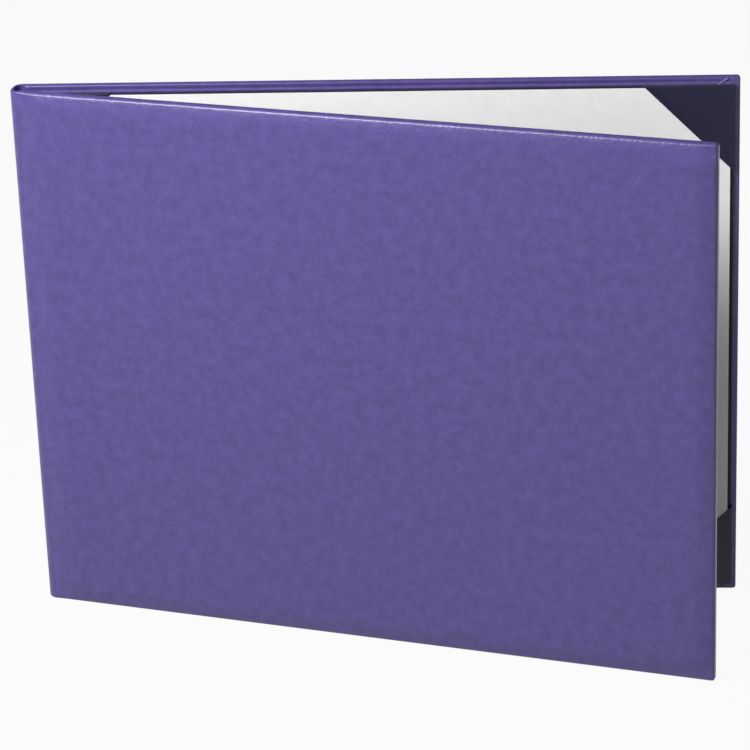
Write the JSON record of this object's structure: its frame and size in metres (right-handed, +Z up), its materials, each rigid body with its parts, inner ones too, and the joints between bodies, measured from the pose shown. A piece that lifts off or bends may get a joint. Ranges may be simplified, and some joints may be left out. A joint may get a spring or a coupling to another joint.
{
  "type": "diploma cover",
  "caption": "Padded landscape diploma cover in purple leatherette, standing slightly open, with black lined covers and a blank certificate held by corner pockets.",
  "frame": {"origin": "middle of the footprint, on the surface that the cover stands on", "axes": "+X from the spine towards the fore-edge along the back cover, +Y from the front cover towards the back cover, +Z up"},
  "size_m": [0.2884, 0.087, 0.2235],
  "materials": {
    "leatherette": "satin",
    "greyboard": "matte",
    "foam": "matte",
    "black_paper": "matte",
    "black_ribbon": "matte",
    "white_card": "matte"
  },
  "bodies": {
    "back_cover": {"back_leatherette": "leatherette", "back_board": "greyboard", "back_foam": "foam", "back_panel": "black_paper", "certificate": "white_card", "pocket_bottom_spine": "black_ribbon", "pocket_bottom_fore": "black_ribbon", "pocket_top_spine": "black_ribbon", "pocket_top_fore": "black_ribbon"},
    "spine": {"spine_leatherette": "leatherette", "spine_lining": "black_paper"},
    "front_cover": {"front_leatherette": "leatherette", "front_board": "greyboard", "front_foam": "foam", "front_panel": "black_paper"}
  },
  "joints": [
    {"name": "back_hinge", "type": "hinge", "parent": "back_cover", "child": "spine", "pos_m": [-0.14208, 0.04112, 0], "axis": [0, 0, -1], "range_deg": [-7.65, 82.35]},
    {"name": "front_hinge", "type": "hinge", "parent": "spine", "child": "front_cover", "pos_m": [-0.14316, 0.03308, 0], "axis": [0, 0, -1], "range_deg": [-7.65, 82.35]}
  ]
}
